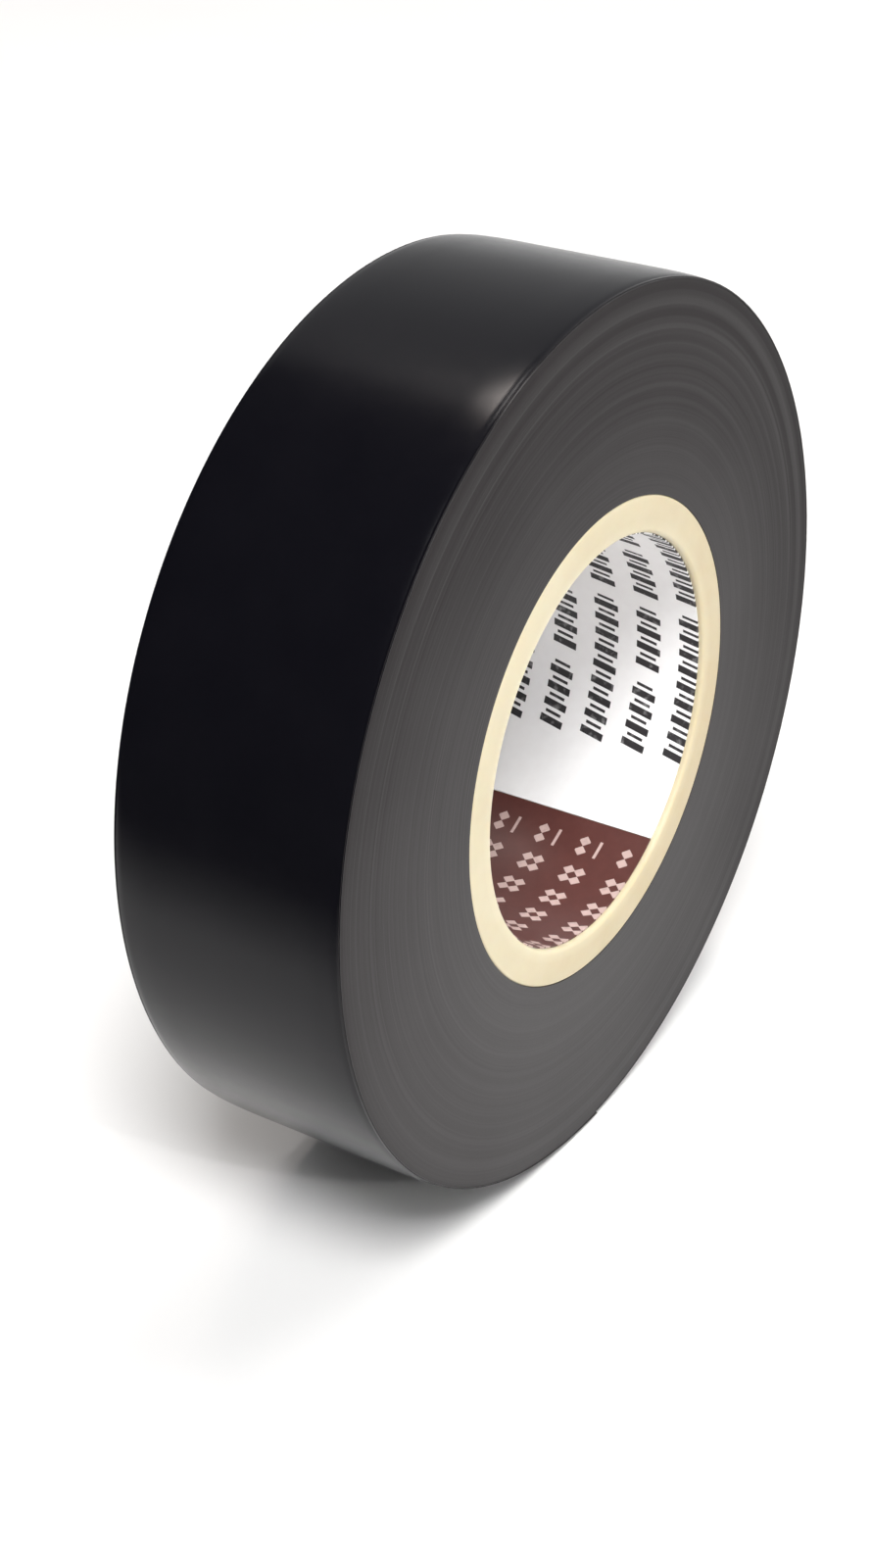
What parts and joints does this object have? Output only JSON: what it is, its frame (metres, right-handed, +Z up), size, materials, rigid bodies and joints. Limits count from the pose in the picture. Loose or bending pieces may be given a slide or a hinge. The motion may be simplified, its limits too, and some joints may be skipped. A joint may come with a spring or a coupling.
{
  "type": "electrical tape roll",
  "caption": "Roll of black PVC electrical tape on an ivory core with a printed paper liner, standing on its rim, with a free end that peels off.",
  "frame": {"origin": "centre of the roll, on the bore axis halfway across its width", "axes": "+Y along the bore, away from the front face that the picture shows; +Z up, with the roll standing on its rim; +X to the right as seen from the front"},
  "size_m": [0.0719, 0.019, 0.0719],
  "materials": {
    "core_ivory": "smooth moulded ivory plastic, slightly translucent",
    "label_paper": "smooth white printed paper, part of it a maroon field",
    "film_black": "black PVC film, satin gloss",
    "adhesive_black": "thin tacky black rubber adhesive, matte",
    "wound_cut_edge": "matte dark grey slit edges of the wound tape, faint fine rings"
  },
  "bodies": {
    "roll": {"core_tube": "core_ivory", "bore_label": "label_paper", "wound_turns": "wound_cut_edge", "outer_turn_film": "film_black", "outer_turn_adhesive": "adhesive_black"},
    "tail_01": {"tail_film_01": "film_black", "tail_adhesive_01": "adhesive_black"},
    "tail_02": {"tail_film_02": "film_black", "tail_adhesive_02": "adhesive_black"},
    "tail_03": {"tail_film_03": "film_black", "tail_adhesive_03": "adhesive_black"},
    "tail_04": {"tail_film_04": "film_black", "tail_adhesive_04": "adhesive_black"},
    "tail_05": {"tail_film_05": "film_black", "tail_adhesive_05": "adhesive_black"},
    "tail_06": {"tail_film_06": "film_black", "tail_adhesive_06": "adhesive_black"},
    "tail_07": {"tail_film_07": "film_black", "tail_adhesive_07": "adhesive_black"},
    "tail_08": {"tail_film_08": "film_black", "tail_adhesive_08": "adhesive_black"},
    "tail_09": {"tail_film_09": "film_black", "tail_adhesive_09": "adhesive_black"},
    "tail_10": {"tail_film_10": "film_black", "tail_adhesive_10": "adhesive_black"}
  },
  "joints": [
    {"name": "peel_fold_01", "type": "hinge", "parent": "roll", "child": "tail_01", "pos_m": [-0.03445, 0, -0.01045], "axis": [0, 1, 0], "range_deg": [0, 30]},
    {"name": "peel_fold_02", "type": "hinge", "parent": "tail_01", "child": "tail_02", "pos_m": [-0.03279, 0, -0.01486], "axis": [0, 1, 0], "range_deg": [0, 33]},
    {"name": "peel_fold_03", "type": "hinge", "parent": "tail_02", "child": "tail_03", "pos_m": [-0.03057, 0, -0.01901], "axis": [0, 1, 0], "range_deg": [0, 27]},
    {"name": "peel_fold_04", "type": "hinge", "parent": "tail_03", "child": "tail_04", "pos_m": [-0.02783, 0, -0.02284], "axis": [0, 1, 0], "range_deg": [0, 18]},
    {"name": "peel_fold_05", "type": "hinge", "parent": "tail_04", "child": "tail_05", "pos_m": [-0.02461, 0, -0.02628], "axis": [0, 1, 0], "range_deg": [0, 7.5]},
    {"name": "peel_fold_06", "type": "hinge", "parent": "tail_05", "child": "tail_06", "pos_m": [-0.02097, 0, -0.02926], "axis": [0, 1, 0], "range_deg": [0, 7.5]},
    {"name": "peel_fold_07", "type": "hinge", "parent": "tail_06", "child": "tail_07", "pos_m": [-0.01697, 0, -0.03175], "axis": [0, 1, 0], "range_deg": [0, 7.5]},
    {"name": "peel_fold_08", "type": "hinge", "parent": "tail_07", "child": "tail_08", "pos_m": [-0.01268, 0, -0.03369], "axis": [0, 1, 0], "range_deg": [0, 7.5]},
    {"name": "peel_fold_09", "type": "hinge", "parent": "tail_08", "child": "tail_09", "pos_m": [-0.00817, 0, -0.03506], "axis": [0, 1, 0], "range_deg": [0, 7.5]},
    {"name": "peel_fold_10", "type": "hinge", "parent": "tail_09", "child": "tail_10", "pos_m": [-0.00353, 0, -0.03583], "axis": [0, 1, 0], "range_deg": [0, 7.5]}
  ],
  "couplings": [
    {"joint": "peel_fold_02", "follows": "peel_fold_01", "ratio": 1.1},
    {"joint": "peel_fold_03", "follows": "peel_fold_01", "ratio": 0.9},
    {"joint": "peel_fold_04", "follows": "peel_fold_01", "ratio": 0.6},
    {"joint": "peel_fold_05", "follows": "peel_fold_01", "ratio": 0.25},
    {"joint": "peel_fold_06", "follows": "peel_fold_01", "ratio": 0.25},
    {"joint": "peel_fold_07", "follows": "peel_fold_01", "ratio": 0.25},
    {"joint": "peel_fold_08", "follows": "peel_fold_01", "ratio": 0.25},
    {"joint": "peel_fold_09", "follows": "peel_fold_01", "ratio": 0.25},
    {"joint": "peel_fold_10", "follows": "peel_fold_01", "ratio": 0.25}
  ]
}
